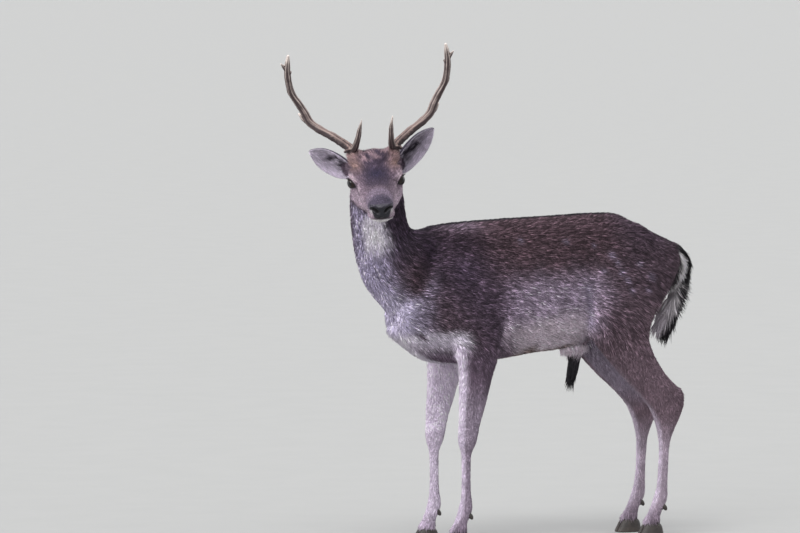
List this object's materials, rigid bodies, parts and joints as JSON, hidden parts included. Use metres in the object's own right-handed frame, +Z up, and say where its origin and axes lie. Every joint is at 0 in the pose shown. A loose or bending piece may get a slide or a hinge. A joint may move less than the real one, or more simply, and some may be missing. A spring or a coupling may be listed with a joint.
{
  "type": "fallow deer, still life-size model",
  "caption": "Still life-size fallow buck in winter coat, standing square on four hooves with his head turned to his left; small pointed antlers.",
  "frame": {"origin": "middle of the bottom face of the bounding box, at the level of the hoof soles", "axes": "+Z up; the deer faces -X and his left side is -Y"},
  "size_m": [1.2414, 0.3676, 1.3439],
  "materials": {
    "coat": "short dense winter hair, dark brown-grey with pale ticking",
    "eye": "wet dark brown eye",
    "antler": "grooved brown bone, rubbed pale on the ridges",
    "hoof": "dull black horn"
  },
  "bodies": {
    "root": {"antler_left_back_spur": "antler", "antler_left_beam_lower": "antler", "antler_left_beam_upper": "antler", "antler_left_brow_tine": "antler", "antler_left_top_tine": "antler", "antler_right_back_spur": "antler", "antler_right_beam_lower": "antler", "antler_right_beam_upper": "antler", "antler_right_brow_tine": "antler", "antler_right_top_tine": "antler", "ear_left": "coat", "ear_right": "coat", "eye_left": "eye", "eye_right": "eye", "foreleg_left_lower": "coat", "foreleg_left_upper": "coat", "foreleg_right_lower": "coat", "foreleg_right_upper": "coat", "head": "coat", "hindleg_left_lower": "coat", "hindleg_left_upper": "coat", "hindleg_right_lower": "coat", "hindleg_right_upper": "coat", "hoof_fore_left_inner": "hoof", "hoof_fore_left_outer": "hoof", "hoof_fore_right_inner": "hoof", "hoof_fore_right_outer": "hoof", "hoof_hind_left_inner": "hoof", "hoof_hind_left_outer": "hoof", "hoof_hind_right_inner": "hoof", "hoof_hind_right_outer": "hoof", "neck": "coat", "sheath": "coat", "tail": "coat", "trunk": "coat"}
  },
  "joints": []
}
